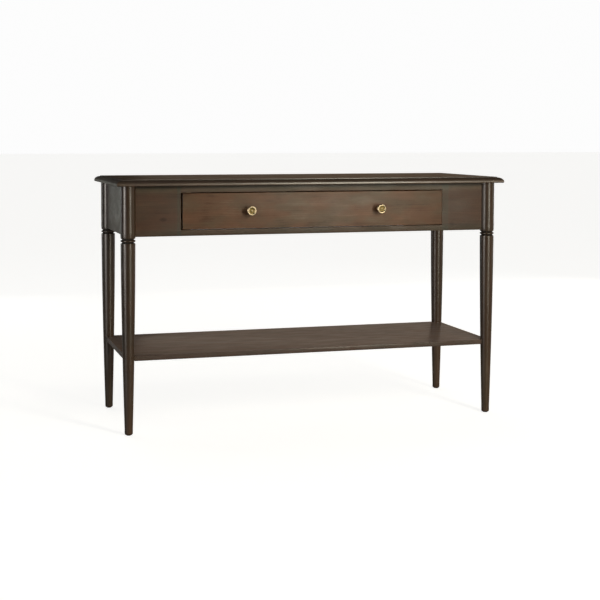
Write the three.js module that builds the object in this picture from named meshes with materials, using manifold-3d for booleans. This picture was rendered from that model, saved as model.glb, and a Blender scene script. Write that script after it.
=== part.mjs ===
// A console table with four turned legs, coped aprons, one wide inset drawer on wooden runners,
// a plain lower shelf and a top with a moulded edge.
// Millimetres, +Z up. The origin is on the floor under the middle of the table, the front faces -Y
// and the width runs along X. Pieces that touch keep a small gap, so that each stays its own solid.

import * as THREE from "three";
import { mergeVertices } from "three/addons/utils/BufferGeometryUtils.js";
import Module from "manifold-3d";

const wasm = await Module();
wasm.setup();

// ---------------------------------------------------------------- driving dimensions

const WIDTH = 1240;
const DEPTH = 480;
const HEIGHT = 762;
const GAP = 0.3;

const TOP_THICK = 19;
const EDGE_WIDTH = 45; // each moulded strip round the top, from its joint to its nose
const MOULDING = 17; // how far the nose stands out beyond the flat of the top
const FILLET = 1.8; // height of the step at the edge of the flat
const NOSE_R = 3.2; // rounding under the nose

const LEG_X = 581; // leg axes
const LEG_Y = 197;
const COLUMN_R = 22.5; // the straight part of the leg, beside the aprons
const NECK_R = 22; // top of the taper
const GROOVES = [575.6, 585.1]; // heights of the two ring grooves
const GROOVE_HALF = 2.5; // half the height of a groove
const GROOVE_RIM = 21.4; // radius at a groove's edge
const GROOVE_BOTTOM = 17.4; // radius at the bottom of a groove
const SWELL = [20.2, 295]; // where the taper's line is pulled to, as radius and height
const ANKLE_R = 12.4; // foot of the taper
const ANKLE_Z = 20;
const FOOT_R = 9.8; // flat under the foot
const GLIDE_THICK = 2;

const APRON_BOTTOM = 592;
const APRON_PROUD = 6; // outer face of an apron, outside the leg axis
const APRON_THICK = 20;
const TENON_THICK = 8;
const TENON_END = 11; // tip of a tenon, from the leg axis
const TENON_SHOULDER = 15;

const OPENING_HALF = 422.2; // drawer opening in the front apron
const OPENING_BOTTOM = 609.7;
const OPENING_TOP = 722.2;

const DRAWER_OFF = 2.3; // how far the drawer sits to the right of the middle
const FRONT_HALF = 419.4; // drawer front
const FRONT_BOTTOM = 611.2;
const FRONT_TOP = 719.8;
const FRONT_THICK = 19;
const BOX_HALF = 418.2; // outside of the drawer's sides
const BOX_WALL = 12;
const BOX_TOP = 717;
const BOX_BACK = 165;
const BACK_TOP = 705;
const HOUSING = 8; // depth of the housings in the drawer front
const GROOVE = 6; // depth of the grooves in the drawer's sides
const PANEL_LOW = 618; // drawer bottom
const PANEL_THICK = 5;
const DRAWER_TRAVEL = 300;

const RUN_OUT = 440; // outer side of the runners, guides and kickers
const RUNNER_IN = 388;
const GUIDE_PLAY = 0.8; // between each guide and the drawer's side
const GUIDE_TOP = 640;
const KICKER_LOW = 720;
const STOP_IN = 400; // inner side of the blocks that stop the drawer as it closes
const TONGUE_Y = 153; // front face of the tongue that stops it as it opens
const TONGUE_WIDE = 30;

const KNOB_X = 209;
const KNOB_R = 14.5;
const KNOB_REACH = 27;
const KNOB_SCREW_R = 2;
const KNOB_SCREW_DEPTH = 11; // how far the screw goes into the knob

const SHELF_HALF_X = 591;
const SHELF_HALF_Y = 202;
const SHELF_TOP = 237;
const SHELF_THICK = 15;
const SHELF_COPE_R = 17.9;
const DOWEL_R = 4;
const DOWEL_FROM = 5.5; // both ways inwards from the leg axis
const DOWEL_TO = 30;

const GLIDE_PIN_R = 1.4;
const GLIDE_PIN_TOP = 14;

const BLOCK_LOW = 712; // underside of the corner blocks
const BLOCK_NEAR = 34; // along each apron, inwards from the leg axis
const BLOCK_FAR = 64;
const SCREW_R = 2;
const SCREW_BITE = 12; // how far the screws go up into the top
const SCREW_HEAD_R = 4.4;
const SCREW_HEAD = 3;
const KICKER_SCREW_X = 432;

// ---------------------------------------------------------------- worked out from them

const TOP_UNDER = HEIGHT - TOP_THICK;
const FRAME_TOP = TOP_UNDER - GAP;
const APRON_IN = APRON_THICK - APRON_PROUD; // inner face of an apron, inside the leg axis
const FACE_Y = -(LEG_Y + APRON_PROUD); // front face of the apron and of the drawer front
const INNER_Y = LEG_Y - APRON_IN - GAP; // room between the front and back aprons
const FRONT_BACK_Y = FACE_Y + FRONT_THICK;
const KNOB_Z = (FRONT_BOTTOM + FRONT_TOP) / 2;
const BACK_FRONT_Y = TONGUE_Y - GAP - BOX_WALL; // front face of the drawer's back
const PANEL_SLOT = [PANEL_LOW - GAP, PANEL_LOW + PANEL_THICK + GAP];
const SCREW_TIP = TOP_UNDER + SCREW_BITE;
const BLOCK_SCREW = (APRON_IN + GAP + (BLOCK_NEAR + BLOCK_FAR) / 2) / 2;
const DOWEL_Z = SHELF_TOP - SHELF_THICK / 2;
const CORNERS = [
  ["front_left", -1, -1],
  ["front_right", 1, -1],
  ["back_left", -1, 1],
  ["back_right", 1, 1],
];
const SIDES = [
  ["left", -1],
  ["right", 1],
];

// ---------------------------------------------------------------- materials

const finish = (color, roughness, metalness = 0) =>
  new THREE.MeshStandardMaterial({ color, roughness, metalness });

const WALNUT = finish("#4f3d30", 0.42);
const LEG_WALNUT = finish("#3a2e27", 0.4);
const TOP_WALNUT = finish("#4b4033", 0.36);
const PLAIN_WOOD = finish("#b99a6f", 0.6);
const BRASS = finish("#a98a5b", 0.3, 1);
const STEEL = finish("#8c8f92", 0.35, 1);
const NYLON = finish("#1d1b19", 0.55);

// ---------------------------------------------------------------- solids

// A closed three.js geometry as a solid that can be joined and cut.
function solid(geometry) {
  geometry.deleteAttribute("normal");
  geometry.deleteAttribute("uv");
  const merged = mergeVertices(geometry, 1e-4);
  const mesh = new wasm.Mesh({
    numProp: 3,
    vertProperties: merged.attributes.position.array,
    triVerts: new Uint32Array(merged.index.array),
  });
  return new wasm.Manifold(mesh);
}

// A solid as a three.js geometry.
function geometryOf(body) {
  const mesh = body.getMesh();
  const geometry = new THREE.BufferGeometry();
  const corners = new Float32Array(mesh.vertProperties);
  geometry.setAttribute("position", new THREE.BufferAttribute(corners, 3));
  geometry.setIndex(new THREE.BufferAttribute(new Uint32Array(mesh.triVerts), 1));
  geometry.computeVertexNormals();
  return geometry;
}

// A block between two opposite corners, given in any order.
function block(a, b) {
  const size = a.map((value, i) => Math.abs(value - b[i]));
  const middle = a.map((value, i) => (value + b[i]) / 2);
  return solid(new THREE.BoxGeometry(...size).translate(...middle));
}

// A round rod, or the cutter for a round hole, from one point to another.
function rod(from, to, radius, segments = 12) {
  const start = new THREE.Vector3(...from);
  const end = new THREE.Vector3(...to);
  const along = end.clone().sub(start);
  const cylinder = new THREE.CylinderGeometry(radius, radius, along.length(), segments);
  const up = new THREE.Vector3(0, 1, 0);
  cylinder.applyQuaternion(new THREE.Quaternion().setFromUnitVectors(up, along.normalize()));
  const middle = start.add(end).multiplyScalar(0.5);
  return solid(cylinder.translate(middle.x, middle.y, middle.z));
}

// A solid turned about +Z from [radius, height] points, the first and the last of them on the axis.
function turned(outline, segments) {
  const points = outline.map(([radius, height]) => new THREE.Vector2(radius, height));
  return solid(new THREE.LatheGeometry(points, segments).rotateX(Math.PI / 2));
}

// An upright prism on an outline of [x, y] points.
function prism(outline, low, high) {
  const shape = new THREE.Shape(outline.map(([x, y]) => new THREE.Vector2(x, y)));
  const extruded = new THREE.ExtrudeGeometry(shape, { depth: high - low, bevelEnabled: false });
  return solid(extruded.translate(0, 0, low));
}

// Points along part of an ellipse in an outline, by its centre, half width, half height and first and
// last angle in degrees.
function oval(x, y, wide, high, first, last, steps) {
  return Array.from({ length: steps + 1 }, (_, i) => {
    const angle = THREE.MathUtils.degToRad(first + ((last - first) * i) / steps);
    return [x + wide * Math.cos(angle), y + high * Math.sin(angle)];
  });
}

// Points along a smooth bend in an outline, pulled towards one point.
function bend(from, pull, to, steps) {
  const [a, b, c] = [from, pull, to].map(([x, y]) => new THREE.Vector2(x, y));
  return new THREE.QuadraticBezierCurve(a, b, c).getPoints(steps).map((p) => [p.x, p.y]);
}

// A point by its distances inwards from a leg's axis, across the width and across the depth.
const fromLeg = (side, end, inX, inY, z) => [side * (LEG_X - inX), end * (LEG_Y - inY), z];

const table = new THREE.Group();

function place(name, body, material) {
  const mesh = new THREE.Mesh(geometryOf(body), material);
  mesh.name = name;
  table.add(mesh);
  return mesh;
}

// ---------------------------------------------------------------- legs

// The leg's outline: rounded foot, swelling taper, two ring grooves with a bead between, column.
function legOutline() {
  const foot = GLIDE_THICK + GAP;
  const rounding = ANKLE_R - FOOT_R;
  const [low, high] = GROOVES;
  const pull = 2 * GROOVE_BOTTOM - GROOVE_RIM;
  const groove = (z) =>
    bend([GROOVE_RIM, z - GROOVE_HALF], [pull, z], [GROOVE_RIM, z + GROOVE_HALF], 2);
  const shoulder = [GROOVE_RIM + 0.3, high + GROOVE_HALF + 1];
  return [
    [0, foot],
    ...oval(FOOT_R, foot + 2 * rounding, rounding, 2 * rounding, -90, 0, 3),
    ...bend([ANKLE_R, ANKLE_Z], SWELL, [NECK_R, low - 2 * GROOVE_HALF], 7),
    ...groove(low),
    [NECK_R + 0.2, (low + high) / 2],
    ...groove(high),
    ...bend(shoulder, [COLUMN_R, high + 4 * GROOVE_HALF], [COLUMN_R, high + 18], 2),
    [COLUMN_R, FRAME_TOP],
    [0, FRAME_TOP],
  ];
}

// Mortises for the tenons of the two aprons that meet at a leg.
function mortises(side, end) {
  const tip = TENON_END - GAP;
  const reach = COLUMN_R + 2;
  const low = APRON_BOTTOM + TENON_SHOULDER - GAP;
  const high = FRAME_TOP - TENON_SHOULDER + GAP;
  const stripLow = APRON_BOTTOM + 2 - GAP; // the front apron is glued up from strips with own tenons
  const stripHigh = FRAME_TOP - 4 + GAP;
  const [alongLow, alongHigh] = end < 0 ? [stripLow, stripHigh] : [low, high];
  const acrossFrame = block(
    fromLeg(side, end, tip, -GAP, alongLow),
    fromLeg(side, end, reach, TENON_THICK + GAP, alongHigh),
  );
  const alongSide = block(
    fromLeg(side, end, -GAP, tip, low),
    fromLeg(side, end, TENON_THICK + GAP, reach, high),
  );
  return acrossFrame.add(alongSide);
}

// The dowel between a leg and the shelf's corner, or its hole when grown by a gap.
function shelfDowel(side, end, grown) {
  const from = DOWEL_FROM - grown;
  const to = DOWEL_TO + grown;
  return rod(
    fromLeg(side, end, from, from, DOWEL_Z),
    fromLeg(side, end, to, to, DOWEL_Z),
    DOWEL_R + grown,
    10,
  );
}

function addLegs() {
  const plain = turned(legOutline(), 16);
  for (const [name, side, end] of CORNERS) {
    const [x, y] = fromLeg(side, end, 0, 0, 0);
    const pinHole = rod([x, y, 0], [x, y, GLIDE_PIN_TOP + GAP], GLIDE_PIN_R + GAP, 8);
    const leg = plain
      .translate([x, y, 0])
      .subtract(mortises(side, end))
      .subtract(shelfDowel(side, end, GAP))
      .subtract(pinHole);
    place(`leg_${name}`, leg, LEG_WALNUT);
  }
}

// Nail-on glides under the feet.
function addGlides() {
  const outline = [
    [0, 0],
    [7.4, 0],
    [8, 0.6],
    [8, GLIDE_THICK],
    [GLIDE_PIN_R, GLIDE_THICK],
    [GLIDE_PIN_R, GLIDE_PIN_TOP - 3],
    [0, GLIDE_PIN_TOP],
  ];
  const glide = turned(outline, 12);
  for (const [name, side, end] of CORNERS) {
    place(`foot_glide_${name}`, glide, NYLON).position.set(...fromLeg(side, end, 0, 0, 0));
  }
}

// ---------------------------------------------------------------- aprons

const columnCutter = (side, end) =>
  rod(
    fromLeg(side, end, 0, 0, APRON_BOTTOM - 5),
    fromLeg(side, end, 0, 0, HEIGHT),
    COLUMN_R + GAP,
    32,
  );

// A board of the front or back apron, coped to both columns where it reaches them.
function crossBoard(end, from, to, low, high) {
  const outer = end * (LEG_Y + APRON_PROUD);
  const inner = end * (LEG_Y - APRON_IN);
  const board = block([from, outer, low], [to, inner, high]);
  return board.subtract(columnCutter(-1, end)).subtract(columnCutter(1, end));
}

// A tenon on a front or back board.
const crossTenon = (side, end, low, high) =>
  block(
    fromLeg(side, end, TENON_END, 0, low),
    fromLeg(side, end, COLUMN_R + 4, TENON_THICK, high),
  );

// The front apron is four strips glued up round the drawer opening.
function addFrontApron() {
  const railTenons = (low, high) =>
    crossTenon(-1, -1, low, high).add(crossTenon(1, -1, low, high));
  const topRail = crossBoard(-1, -LEG_X, LEG_X, OPENING_TOP, FRAME_TOP);
  place("front_rail_top", topRail.add(railTenons(OPENING_TOP + 2, FRAME_TOP - 4)), WALNUT);
  const bottomRail = crossBoard(-1, -LEG_X, LEG_X, APRON_BOTTOM, OPENING_BOTTOM);
  const lowTenons = railTenons(APRON_BOTTOM + 2, OPENING_BOTTOM - 2);
  place("front_rail_bottom", bottomRail.add(lowTenons), WALNUT);
  for (const [name, side] of SIDES) {
    const low = OPENING_BOTTOM + GAP;
    const high = OPENING_TOP - GAP;
    const panel = crossBoard(-1, side * OPENING_HALF, side * LEG_X, low, high);
    place(`front_end_${name}`, panel.add(crossTenon(side, -1, low + 10, high - 10)), WALNUT);
  }
}

function addBackApron() {
  const board = crossBoard(1, -LEG_X, LEG_X, APRON_BOTTOM, FRAME_TOP);
  const [low, high] = [APRON_BOTTOM + TENON_SHOULDER, FRAME_TOP - TENON_SHOULDER];
  const tenons = crossTenon(-1, 1, low, high).add(crossTenon(1, 1, low, high));
  place("back_apron", board.add(tenons), WALNUT);
}

function addSideAprons() {
  const [low, high] = [APRON_BOTTOM + TENON_SHOULDER, FRAME_TOP - TENON_SHOULDER];
  for (const [name, side] of SIDES) {
    const outer = side * (LEG_X + APRON_PROUD);
    const inner = side * (LEG_X - APRON_IN);
    let board = block([outer, -LEG_Y, APRON_BOTTOM], [inner, LEG_Y, FRAME_TOP]);
    for (const end of [-1, 1]) {
      const tenon = block(
        fromLeg(side, end, 0, TENON_END, low),
        fromLeg(side, end, TENON_THICK, COLUMN_R + 4, high),
      );
      board = board.subtract(columnCutter(side, end)).add(tenon);
    }
    place(`side_apron_${name}`, board, WALNUT);
  }
}

// ---------------------------------------------------------------- corner blocks and top screws

// The shank hole of a screw that goes up into the top.
const screwHole = ([x, y], low) =>
  rod([x, y, low - 1], [x, y, SCREW_TIP + 1], SCREW_R + GAP, 8);

// A pan-head wood screw, standing up from the underside that its head bears on.
function addTopScrew(name, [x, y], under) {
  const head = under - GAP;
  const outline = [
    [0, head - SCREW_HEAD],
    [SCREW_HEAD_R - 1.4, head - SCREW_HEAD],
    [SCREW_HEAD_R, head - 1],
    [SCREW_HEAD_R, head],
    [SCREW_R, head],
    [SCREW_R, SCREW_TIP - 4],
    [0, SCREW_TIP],
  ];
  place(name, turned(outline, 10).translate([x, y, 0]), STEEL);
}

const blockScrewAt = (side, end) => fromLeg(side, end, BLOCK_SCREW, BLOCK_SCREW, 0).slice(0, 2);

function addCornerBlocks() {
  const face = APRON_IN + GAP;
  const plan = [
    [face, BLOCK_NEAR],
    [BLOCK_NEAR, face],
    [BLOCK_FAR, face],
    [face, BLOCK_FAR],
  ];
  for (const [name, side, end] of CORNERS) {
    const outline = plan.map(([inX, inY]) => fromLeg(side, end, inX, inY, 0).slice(0, 2));
    const body = prism(outline, BLOCK_LOW, FRAME_TOP);
    const at = blockScrewAt(side, end);
    place(`corner_block_${name}`, body.subtract(screwHole(at, BLOCK_LOW)), PLAIN_WOOD);
    addTopScrew(`top_screw_${name}`, at, BLOCK_LOW);
  }
}

// ---------------------------------------------------------------- top

// Section of a moulded strip, as [outwards, height] from the middle of the table to its nose:
// a small step at the edge of the flat, then a long thumbnail round down to the nose.
function edgeSection(nose) {
  const flat = nose - MOULDING;
  const middle = TOP_UNDER + NOSE_R;
  const thumb = oval(flat, middle, MOULDING, HEIGHT - FILLET - middle, 0, 90, 7);
  return [
    [nose - EDGE_WIDTH + GAP, TOP_UNDER],
    ...oval(nose - NOSE_R, middle, NOSE_R, NOSE_R, -90, 0, 3),
    ...thumb.slice(1),
    [flat, HEIGHT],
    [nose - EDGE_WIDTH + GAP, HEIGHT],
  ];
}

// A moulded strip along the front, mitred at both ends. halfLength is to its outer corners.
function edgeStrip(halfLength, nose) {
  const section = edgeSection(nose).map(([out, z]) => new THREE.Vector2(out, z));
  const strip = new THREE.ExtrudeGeometry(new THREE.Shape(section), {
    depth: 2 * halfLength,
    bevelEnabled: false,
  });
  strip.translate(0, 0, -halfLength);
  const outwards = new THREE.Vector3(0, -1, 0);
  const up = new THREE.Vector3(0, 0, 1);
  const along = new THREE.Vector3(-1, 0, 0);
  strip.applyMatrix4(new THREE.Matrix4().makeBasis(outwards, up, along));
  const long = halfLength - GAP / 2 + 1;
  const short = halfLength - GAP / 2 - EDGE_WIDTH;
  const mitres = [
    [-long, -nose - 1],
    [long, -nose - 1],
    [short, -nose + EDGE_WIDTH],
    [-short, -nose + EDGE_WIDTH],
  ];
  return solid(strip).intersect(prism(mitres, TOP_UNDER - 1, HEIGHT + 1));
}

// A flat panel framed by four mitred, moulded strips.
function addTop() {
  const x = WIDTH / 2 - EDGE_WIDTH;
  const y = DEPTH / 2 - EDGE_WIDTH;
  let panel = block([-x, -y, TOP_UNDER], [x, y, HEIGHT]);
  for (const [, side, end] of CORNERS) {
    panel = panel.subtract(screwHole(blockScrewAt(side, end), TOP_UNDER));
  }
  for (const [, side] of SIDES) {
    panel = panel.subtract(screwHole([side * KICKER_SCREW_X, 0], TOP_UNDER));
  }
  place("top_panel", panel, TOP_WALNUT);
  const long = edgeStrip(WIDTH / 2, DEPTH / 2);
  const short = edgeStrip(DEPTH / 2, WIDTH / 2);
  place("top_edge_front", long, TOP_WALNUT);
  place("top_edge_back", long, TOP_WALNUT).rotation.z = Math.PI;
  place("top_edge_left", short, TOP_WALNUT).rotation.z = -Math.PI / 2;
  place("top_edge_right", short, TOP_WALNUT).rotation.z = Math.PI / 2;
}

// ---------------------------------------------------------------- shelf

// One board, coped round the legs and doweled into them.
function addShelf() {
  let board = block(
    [-SHELF_HALF_X, -SHELF_HALF_Y, SHELF_TOP - SHELF_THICK],
    [SHELF_HALF_X, SHELF_HALF_Y, SHELF_TOP],
  );
  for (const [name, side, end] of CORNERS) {
    const low = fromLeg(side, end, 0, 0, SHELF_TOP - SHELF_THICK - 5);
    const high = fromLeg(side, end, 0, 0, SHELF_TOP + 5);
    board = board.subtract(rod(low, high, SHELF_COPE_R, 24)).subtract(shelfDowel(side, end, GAP));
    place(`shelf_dowel_${name}`, shelfDowel(side, end, 0), PLAIN_WOOD);
  }
  place("shelf", board, TOP_WALNUT);
}

// ---------------------------------------------------------------- drawer runs inside the frame

// Runners carry the drawer, guides keep it straight, kickers stop it tipping and stops end its travel.
function addDrawerRuns() {
  const runnerTop = FRONT_BOTTOM - GAP;
  for (const [name, side] of SIDES) {
    const runner = block(
      [side * RUNNER_IN, -INNER_Y, APRON_BOTTOM + 1],
      [side * RUN_OUT, INNER_Y, runnerTop],
    );
    place(`drawer_runner_${name}`, runner, PLAIN_WOOD);
    const guide = block(
      [side * (BOX_HALF + GUIDE_PLAY) + DRAWER_OFF, -INNER_Y, runnerTop + GAP],
      [side * RUN_OUT, INNER_Y, GUIDE_TOP],
    );
    place(`drawer_guide_${name}`, guide, PLAIN_WOOD);
    const kicker = block(
      [side * RUNNER_IN, -INNER_Y, KICKER_LOW],
      [side * RUN_OUT, INNER_Y, FRAME_TOP],
    );
    const at = [side * KICKER_SCREW_X, 0];
    place(`drawer_kicker_${name}`, kicker.subtract(screwHole(at, KICKER_LOW)), PLAIN_WOOD);
    addTopScrew(`top_screw_${name}`, at, KICKER_LOW);
    const stop = block(
      [side * STOP_IN, BOX_BACK + GAP, runnerTop + GAP],
      [side * BOX_HALF + DRAWER_OFF, INNER_Y, GUIDE_TOP],
    );
    place(`drawer_stop_${name}`, stop, PLAIN_WOOD);
  }
  const outStop = block(
    [-TONGUE_WIDE, -INNER_Y, OPENING_TOP + 1],
    [TONGUE_WIDE, TONGUE_Y - DRAWER_TRAVEL - GAP, FRAME_TOP],
  );
  place("drawer_out_stop", outStop, PLAIN_WOOD);
}

// ---------------------------------------------------------------- drawer

// A piece of the drawer, moved to where the drawer sits in its opening.
const inDrawer = (piece) => piece.translate([DRAWER_OFF, 0, 0]);

function addDrawerFront() {
  const inner = BOX_HALF - BOX_WALL;
  let front = block([-FRONT_HALF, FACE_Y, FRONT_BOTTOM], [FRONT_HALF, FRONT_BACK_Y, FRONT_TOP]);
  for (const side of [-1, 1]) {
    const housing = block(
      [side * (inner - GAP), FRONT_BACK_Y - HOUSING, FRONT_BOTTOM - 1],
      [side * (BOX_HALF + GAP), FRONT_BACK_Y + 1, BOX_TOP + GAP],
    );
    front = front.subtract(housing);
  }
  const slot = block(
    [-inner, FRONT_BACK_Y - GROOVE, PANEL_SLOT[0]],
    [inner, FRONT_BACK_Y + 1, PANEL_SLOT[1]],
  );
  front = inDrawer(front.subtract(slot));
  for (const x of [-KNOB_X, KNOB_X]) {
    const ends = [FACE_Y - 1, FRONT_BACK_Y + 1].map((y) => [x, y, KNOB_Z]);
    front = front.subtract(rod(...ends, KNOB_SCREW_R + GAP, 10));
  }
  place("drawer_front", front, WALNUT);
}

function addDrawerBox() {
  const inner = BOX_HALF - BOX_WALL;
  const slotX = inner + GROOVE;
  for (const [name, side] of SIDES) {
    const wall = block(
      [side * inner, FRONT_BACK_Y - HOUSING + GAP, FRONT_BOTTOM],
      [side * BOX_HALF, BOX_BACK, BOX_TOP],
    );
    const panelSlot = block(
      [side * (inner - 1), FRONT_BACK_Y - HOUSING, PANEL_SLOT[0]],
      [side * slotX, BOX_BACK + 1, PANEL_SLOT[1]],
    );
    const backHousing = block(
      [side * (inner - 1), BACK_FRONT_Y - GAP, PANEL_SLOT[1] - 1],
      [side * slotX, BACK_FRONT_Y + BOX_WALL + GAP, BOX_TOP + 1],
    );
    const piece = wall.subtract(panelSlot).subtract(backHousing);
    place(`drawer_side_${name}`, inDrawer(piece), PLAIN_WOOD);
  }
  const back = block(
    [-slotX + GAP, BACK_FRONT_Y, PANEL_SLOT[1]],
    [slotX - GAP, BACK_FRONT_Y + BOX_WALL, BACK_TOP],
  );
  place("drawer_back", inDrawer(back), PLAIN_WOOD);
  const panel = block(
    [-slotX + GAP, FRONT_BACK_Y - GROOVE + GAP, PANEL_LOW],
    [slotX - GAP, BOX_BACK - 1, PANEL_LOW + PANEL_THICK],
  );
  place("drawer_bottom", inDrawer(panel), PLAIN_WOOD);
  const tongue = block(
    [-TONGUE_WIDE / 2, TONGUE_Y, BACK_TOP - 45],
    [TONGUE_WIDE / 2, BOX_BACK - 2, FRAME_TOP - 7],
  );
  place("drawer_tongue", tongue, PLAIN_WOOD);
}

// ---------------------------------------------------------------- knobs

// A ringed knob along +Z from its seat: foot, waist, dished head with a raised rim and a button.
function knobOutline() {
  const hole = KNOB_SCREW_R + GAP;
  const rimR = 2.9;
  const rimZ = KNOB_REACH - rimR;
  return [
    [0, KNOB_SCREW_DEPTH + GAP],
    [hole, KNOB_SCREW_DEPTH + GAP],
    [hole, GAP],
    [8.5, GAP],
    [8.5, 2.2],
    ...bend([7, 3.2], [4.8, 8], [6.2, 15], 3),
    ...bend([8, 17.5], [KNOB_R - 1.5, 18.5], [KNOB_R - 0.3, rimZ - 1.2], 2),
    ...oval(KNOB_R - rimR, rimZ, rimR, rimR, 0, 140, 4),
    [8.7, KNOB_REACH - 3.4],
    [5, KNOB_REACH - 3.4],
    [3.8, KNOB_REACH - 1.8],
    [0, KNOB_REACH - 1],
  ];
}

// A machine screw through the drawer front into each knob.
function addKnobs() {
  const knob = turned(knobOutline(), 16);
  const screw = turned(
    [
      [0, -FRONT_THICK - GAP - 2.6],
      [3, -FRONT_THICK - GAP - 2.6],
      [4, -FRONT_THICK - GAP - 1.4],
      [4, -FRONT_THICK - GAP],
      [KNOB_SCREW_R, -FRONT_THICK - GAP],
      [KNOB_SCREW_R, KNOB_SCREW_DEPTH],
      [0, KNOB_SCREW_DEPTH],
    ],
    10,
  );
  for (const [name, side] of SIDES) {
    for (const [kind, body, material] of [
      ["knob", knob, BRASS],
      ["knob_screw", screw, STEEL],
    ]) {
      const mesh = place(`${kind}_${name}`, body, material);
      mesh.position.set(side * KNOB_X, FACE_Y, KNOB_Z);
      mesh.rotation.x = Math.PI / 2;
    }
  }
}

// ---------------------------------------------------------------- the table

addTop();
addLegs();
addGlides();
addFrontApron();
addBackApron();
addSideAprons();
addCornerBlocks();
addShelf();
addDrawerRuns();
addDrawerFront();
addDrawerBox();
addKnobs();

export default table;
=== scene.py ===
"""The looks of a console table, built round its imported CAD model: four turned legs, coped aprons, an
inset drawer on wooden runners, a plain shelf and a top with a moulded edge, in satin walnut.
Lengths in outlines are in millimetres and objects are in metres, in the frame of the CAD model."""

import math

import bmesh
import bpy
from mathutils import Euler, Matrix, Vector


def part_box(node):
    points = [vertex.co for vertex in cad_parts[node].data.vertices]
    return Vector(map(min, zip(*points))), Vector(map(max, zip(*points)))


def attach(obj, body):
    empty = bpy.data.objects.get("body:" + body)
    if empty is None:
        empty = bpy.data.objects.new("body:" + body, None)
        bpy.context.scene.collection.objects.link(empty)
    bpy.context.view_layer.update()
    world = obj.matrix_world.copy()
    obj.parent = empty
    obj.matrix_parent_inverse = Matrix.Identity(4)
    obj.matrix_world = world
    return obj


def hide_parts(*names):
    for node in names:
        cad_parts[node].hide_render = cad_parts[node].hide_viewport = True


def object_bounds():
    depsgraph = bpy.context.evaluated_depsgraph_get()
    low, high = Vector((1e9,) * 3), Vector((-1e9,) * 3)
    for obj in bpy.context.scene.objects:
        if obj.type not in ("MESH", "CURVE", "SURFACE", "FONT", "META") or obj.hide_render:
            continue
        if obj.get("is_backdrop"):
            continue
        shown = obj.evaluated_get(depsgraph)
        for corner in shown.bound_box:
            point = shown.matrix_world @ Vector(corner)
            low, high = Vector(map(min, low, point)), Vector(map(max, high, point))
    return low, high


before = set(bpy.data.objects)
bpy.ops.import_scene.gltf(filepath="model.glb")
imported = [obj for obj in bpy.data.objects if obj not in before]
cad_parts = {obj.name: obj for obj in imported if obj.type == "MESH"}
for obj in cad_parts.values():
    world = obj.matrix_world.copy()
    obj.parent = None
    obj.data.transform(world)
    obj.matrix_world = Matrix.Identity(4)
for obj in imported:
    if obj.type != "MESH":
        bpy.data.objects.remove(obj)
cad_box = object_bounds()
scene = bpy.context.scene

MM = 0.001
GAP = 0.3

# ---------------------------------------------------------------- camera

CAMERA_AT = Vector((-1.17487, -3.80787, 0.88973))
CAMERA_YAW = math.radians(15.94)
CAMERA_PITCH = math.radians(2.607)
CAMERA_ROLL = math.radians(0.06)
LENS = 73.93
SHIFT = (0.0497, -0.179)


def make_camera():
    """A long lens in front of the table and to its left, a little above its top, with a shifted frame."""
    data = bpy.data.cameras.new("camera")
    data.sensor_width = 36
    data.lens = LENS
    data.shift_x, data.shift_y = SHIFT
    data.clip_start, data.clip_end = 0.1, 200
    camera = bpy.data.objects.new("camera", data)
    scene.collection.objects.link(camera)
    level = Euler((math.pi / 2 - CAMERA_PITCH, 0, -CAMERA_YAW), "XYZ").to_matrix()
    turned = level @ Matrix.Rotation(CAMERA_ROLL, 3, "Z")
    camera.matrix_world = Matrix.Translation(CAMERA_AT) @ turned.to_4x4()
    scene.camera = camera


# ---------------------------------------------------------------- studio


# Each area light's name, place, aim, width, height, radiance and tint.
SOFTBOXES = (
    ("right_softbox", (1.15, -3.10, 1.35), (0.2, 0, 1.35), 0.56, 2.5, 14.8, (1.0, 0.95, 0.79)),
    ("left_softbox", (-3.20, -1.66, 1.06), (0, 0, 1.06), 1.05, 2.0, 11.8, (1.0, 0.95, 0.90)),
    ("right_fill", (4.6, -0.9, 1.2), (0.58, -0.2, 1.2), 2.0, 2.4, 1.0, (1.0, 0.98, 0.84)),
    ("warm_card", (1.45, 3.2, 1.1), (1.45, 0, 1.1), 2.8, 1.8, 0.29, (1.0, 0.80, 0.62)),
    ("cool_card", (-1.3, 3.2, 1.1), (-1.3, 0, 1.1), 1.6, 1.8, 0.46, (0.94, 1.0, 0.90)),
)
REFLECTED_ONLY = "left_softbox"
SKIES = (("front_sky", (0.25, -0.60, 0.76), 0.38), ("back_sky", (-0.20, 0.94, 0.27), 1.35))
SKY_ANGLE = math.radians(65)
SKY_TINT = (1.0, 0.97, 0.93)
REAR_STRIPS = (
    ("rear_strip_left", (-3.4, 2.4, 1.1), (0, 0.2, 1.1), 0.5, 1.9, 5.0),
    ("rear_strip_right", (3.4, 2.4, 1.1), (0, 0.2, 1.1), 0.5, 1.9, 5.0),
)
WORLD_SEEN = 0.98
WORLD_LIGHT = 0.02
FLOOR_HALF = 60
FLOOR_GLOW = 0.80


def softbox(name, at, aim, wide, high, radiance, tint=(1, 1, 1)):
    """An area light that isn't seen itself."""
    data = bpy.data.lights.new(name, "AREA")
    data.shape = "RECTANGLE"
    data.size, data.size_y = wide, high
    data.energy = radiance * math.pi * wide * high
    data.color = tint
    light = bpy.data.objects.new(name, data)
    scene.collection.objects.link(light)
    light.location = at
    light.rotation_euler = (Vector(at) - Vector(aim)).to_track_quat("Z", "Y").to_euler()
    light.visible_camera = False
    return light


def sky(name, source, strength):
    """Very soft light from one side of the room, which leaves no reflection."""
    lamp = bpy.data.lights.new(name, "SUN")
    lamp.energy, lamp.angle, lamp.color = strength, SKY_ANGLE, SKY_TINT
    light = bpy.data.objects.new(name, lamp)
    scene.collection.objects.link(light)
    light.rotation_euler = Vector(source).to_track_quat("Z", "Y").to_euler()
    light.visible_glossy = False


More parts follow.
